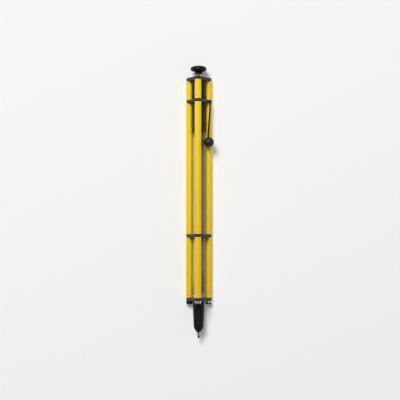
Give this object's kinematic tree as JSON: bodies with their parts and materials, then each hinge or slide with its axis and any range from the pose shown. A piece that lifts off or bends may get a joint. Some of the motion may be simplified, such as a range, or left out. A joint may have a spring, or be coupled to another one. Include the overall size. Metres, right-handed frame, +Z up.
{
  "type": "ballpoint pen",
  "caption": "Click ballpoint pen with an open frame of yellow tubes between dark plates; the refill and the click mechanism show inside it, and a sprung wire with a ball is its clip",
  "frame": {"origin": "On the surface the pen lies on, under the pen's axis and at the middle of its length; the clip's ball puts the box a little to the right of it", "axes": "+Y runs from the writing tip to the button, +Z is up with the front tube on top, +X is to the right seen from above with the button at the far end"},
  "size_m": [0.0137, 0.1308, 0.0111],
  "materials": {
    "yellow_tube": "satin yellow lacquer",
    "dark_plate": "dark anodised",
    "black_metal": "satin black anodised",
    "black_steel": "black oxide",
    "black_ball": "smooth, slightly glossy",
    "bright_steel": "polished",
    "refill_silver": "bright drawn tube",
    "brass": "turned",
    "spring_steel": "drawn wire",
    "white_plastic": "moulded",
    "plug_plastic": "moulded"
  },
  "bodies": {
    "frame": {"upper_tube_front": "yellow_tube", "upper_tube_left": "yellow_tube", "upper_tube_right": "yellow_tube", "long_tube_front": "yellow_tube", "long_tube_left": "yellow_tube", "long_tube_right": "yellow_tube", "lower_tube_front": "yellow_tube", "lower_tube_left": "yellow_tube", "lower_tube_right": "yellow_tube", "top_plate": "dark_plate", "clip_plate": "dark_plate", "middle_plate": "dark_plate", "nose_plate": "dark_plate", "tie_rods": "black_steel", "mechanism_barrel": "black_metal", "nose_cone": "black_metal", "return_spring": "spring_steel"},
    "button": {"button_cap": "black_metal", "push_stem": "bright_steel", "click_plunger": "white_plastic"},
    "refill": {"refill_plug": "plug_plastic", "refill_tube": "refill_silver", "refill_nose": "brass"},
    "rotor": {"cam_rotor": "white_plastic"},
    "ball": {"writing_ball": "bright_steel"},
    "clip": {"clip_wire": "black_steel", "clip_ball": "black_ball"}
  },
  "joints": [
    {"name": "button_slide", "type": "slide", "parent": "frame", "child": "button", "axis": [0, 1, 0], "range_m": [-0.001, 0.0033], "stiffness_N_per_m": 80},
    {"name": "refill_slide", "type": "slide", "parent": "frame", "child": "refill", "axis": [0, 1, 0], "range_m": [-0.001, 0.0033], "deforming": ["return_spring"]},
    {"name": "rotor_turn", "type": "hinge", "parent": "refill", "child": "rotor", "pos_m": [0, 0.0447, 0.00425], "axis": [0, 1, 0], "range_deg": [0, 90]},
    {"name": "ball_roll", "type": "hinge", "parent": "refill", "child": "ball", "pos_m": [0, -0.065, 0.00425], "axis": [1, 0, 0], "continuous": true},
    {"name": "clip_flex", "type": "hinge", "parent": "frame", "child": "clip", "pos_m": [0.00471, 0.04825, 0.00329], "axis": [-0.5, 0, 0.866], "range_deg": [0, 6], "stiffness_Nm_per_rad": 0.02}
  ],
  "couplings": [
    {"joint": "refill_slide", "follows": "button_slide", "ratio": 1}
  ]
}
